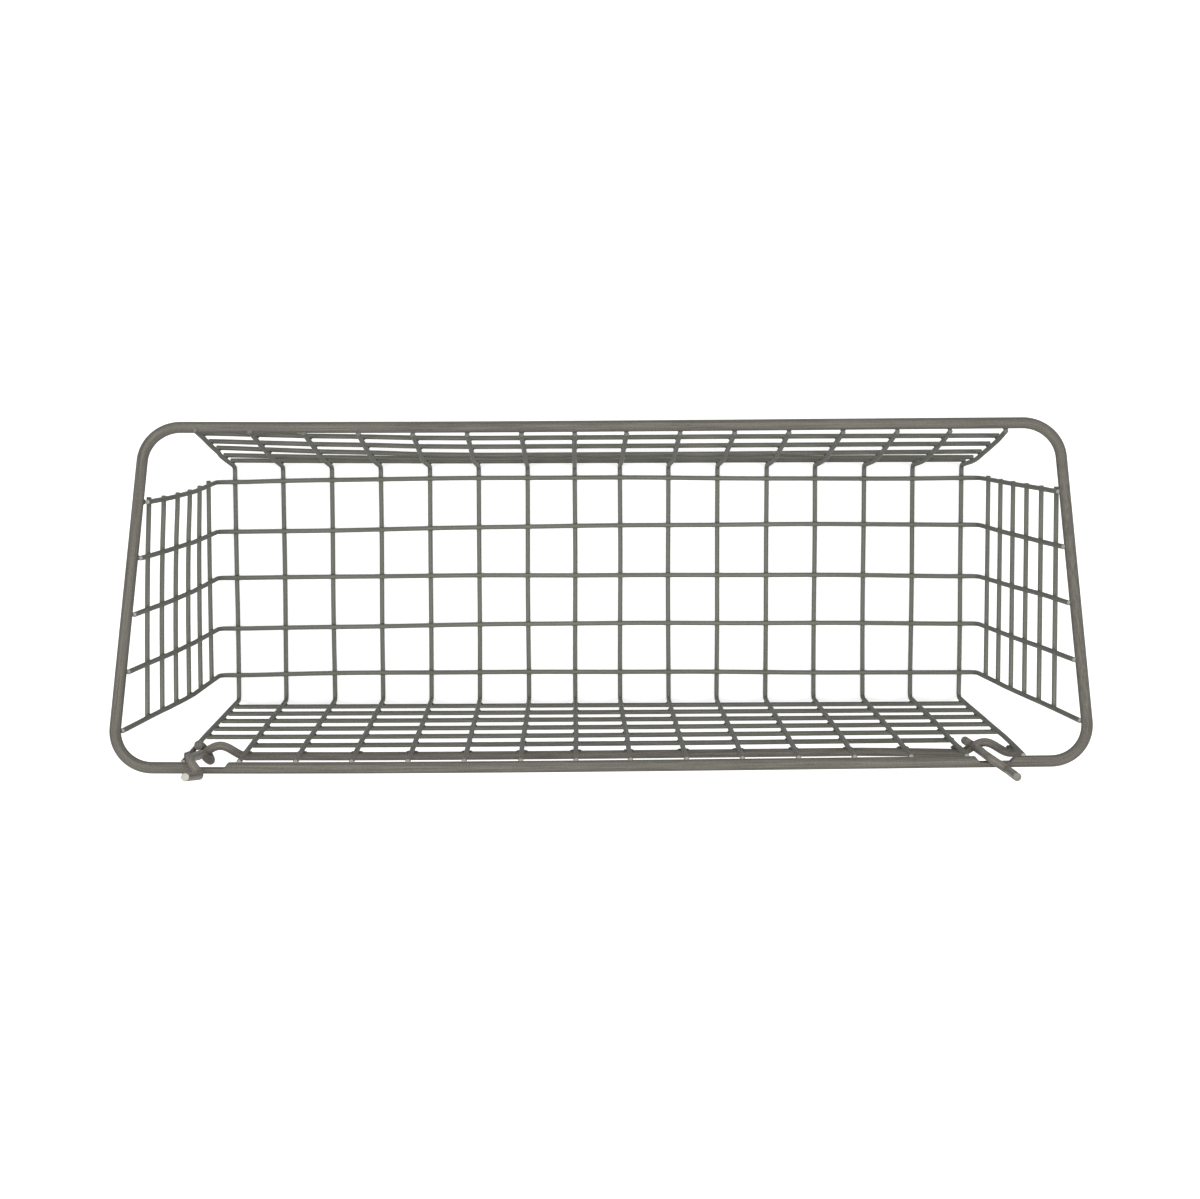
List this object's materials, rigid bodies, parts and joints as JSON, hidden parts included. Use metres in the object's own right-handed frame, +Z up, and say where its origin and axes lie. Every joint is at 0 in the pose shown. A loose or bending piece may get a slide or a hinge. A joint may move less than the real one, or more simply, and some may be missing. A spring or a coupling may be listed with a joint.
{
  "type": "pegboard wire basket",
  "caption": "Open-topped welded wire basket with a heavy sloping rim, a hanger rod behind its back wall and loose wire hooks that hang it on a pegboard.",
  "frame": {"origin": "under the middle of the whole object, at the level that the floor wires rest on", "axes": "+X along the basket to the right of a person who faces its front, -Y to its low front, +Y to its high back and the board, +Z up"},
  "size_m": [0.4474, 0.1582, 0.2244],
  "materials": {
    "thin_wire": "satin warm grey coating",
    "rim_wire": "satin warm grey coating",
    "hook_rod_wire": "satin warm grey coating",
    "peg_hook_wire": "satin warm grey coating with bare cut ends"
  },
  "bodies": {
    "basket": {"back_rail_1": "thin_wire", "back_rail_2": "thin_wire", "back_rail_3": "thin_wire", "back_rail_4": "thin_wire", "back_rail_5": "thin_wire", "back_rail_6": "thin_wire", "cross_wire_01": "thin_wire", "cross_wire_02": "thin_wire", "cross_wire_03": "thin_wire", "cross_wire_04": "thin_wire", "cross_wire_05": "thin_wire", "cross_wire_06": "thin_wire", "cross_wire_07": "thin_wire", "cross_wire_08": "thin_wire", "cross_wire_09": "thin_wire", "cross_wire_10": "thin_wire", "cross_wire_11": "thin_wire", "cross_wire_12": "thin_wire", "cross_wire_13": "thin_wire", "cross_wire_14": "thin_wire", "cross_wire_15": "thin_wire", "cross_wire_16": "thin_wire", "front_rail_1": "thin_wire", "front_rail_2": "thin_wire", "front_rail_3": "thin_wire", "front_rail_4": "thin_wire", "front_rail_5": "thin_wire", "hook_rod": "hook_rod_wire", "left_rail_1": "thin_wire", "left_rail_2": "thin_wire", "left_rail_3": "thin_wire", "left_rail_4": "thin_wire", "left_rail_5": "thin_wire", "left_rail_6": "thin_wire", "long_wire_1": "thin_wire", "long_wire_2": "thin_wire", "long_wire_3": "thin_wire", "long_wire_4": "thin_wire", "long_wire_5": "thin_wire", "right_rail_1": "thin_wire", "right_rail_2": "thin_wire", "right_rail_3": "thin_wire", "right_rail_4": "thin_wire", "right_rail_5": "thin_wire", "right_rail_6": "thin_wire", "rim": "rim_wire"},
    "left_hook": {"peg_hook_left": "peg_hook_wire"},
    "right_hook": {"peg_hook_right": "peg_hook_wire"}
  },
  "joints": [
    {"name": "left_hook_swing", "type": "hinge", "parent": "basket", "child": "left_hook", "pos_m": [-0.1727, 0.0717, 0.1626], "axis": [0.5589, 0.8285, 0.0349], "range_deg": [0, 165]},
    {"name": "right_hook_swing", "type": "hinge", "parent": "basket", "child": "right_hook", "pos_m": [0.1851, 0.07307, 0.1626], "axis": [0.8039, 0.5948, 0], "range_deg": [0, 70]}
  ]
}
